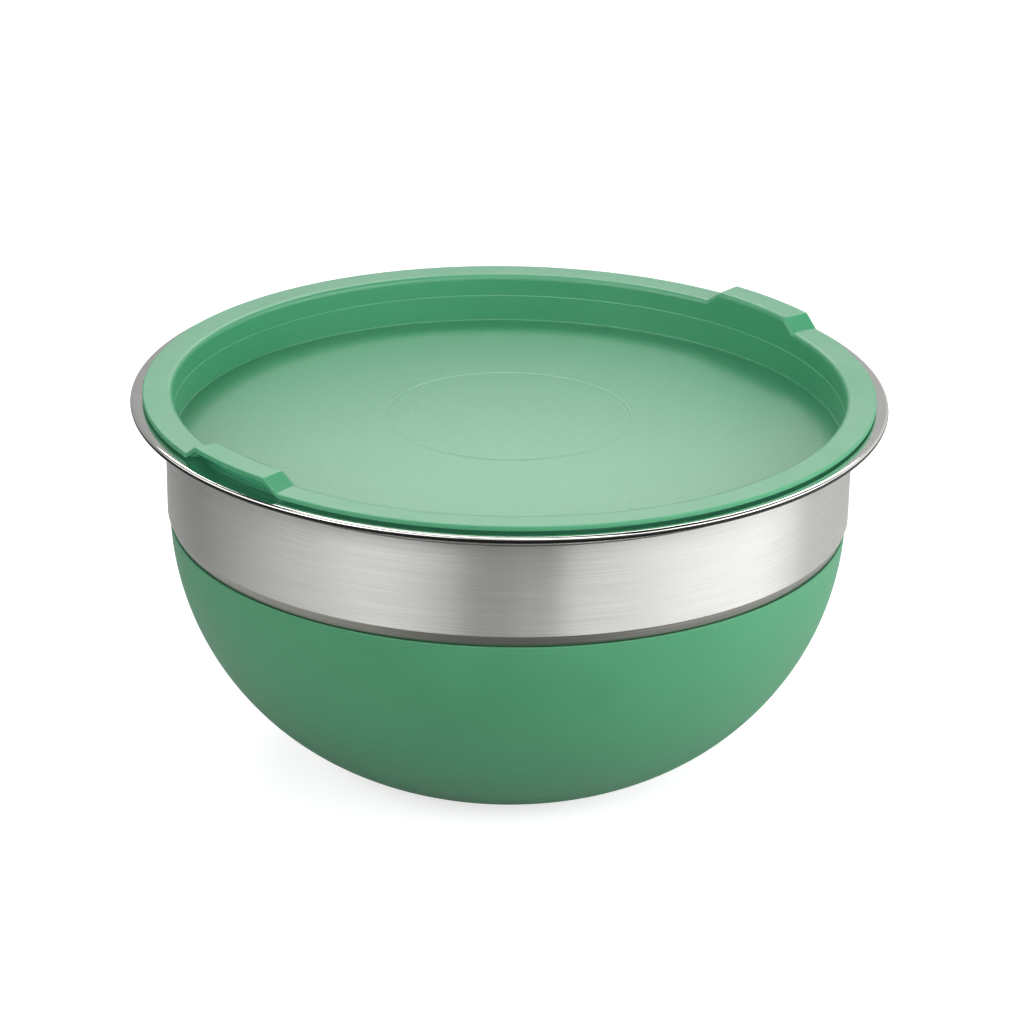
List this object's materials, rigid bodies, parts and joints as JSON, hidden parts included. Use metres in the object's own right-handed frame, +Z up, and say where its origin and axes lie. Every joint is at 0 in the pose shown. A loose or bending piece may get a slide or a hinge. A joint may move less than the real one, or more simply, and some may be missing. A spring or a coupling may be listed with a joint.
{
  "type": "mixing bowl",
  "caption": "Round stainless steel mixing bowl with a rolled rim, a silicone base moulded round it, and a plug-in lid that lifts off by finger tabs.",
  "frame": {"origin": "centre of the foot, on the surface that the bowl stands on", "axes": "+Z up the bowl's axis; X through both finger tabs of the lid; Y across them"},
  "size_m": [0.31, 0.31, 0.1637],
  "materials": {
    "stainless_steel": "band brushed round the bowl, rim and neck polished, inside satin",
    "green_silicone": "moulded silicone, soft satin, with a little lint on it",
    "green_lid_plastic": "smooth moulded flange, wall and tabs, fine spark texture on the panel"
  },
  "bodies": {
    "bowl": {"steel_bowl": "stainless_steel", "silicone_base": "green_silicone"},
    "lid": {"lid": "green_lid_plastic"}
  },
  "joints": [
    {"name": "lid_lift", "type": "slide", "parent": "bowl", "child": "lid", "axis": [0, 0, 1], "range_m": [0, 0.08]}
  ]
}
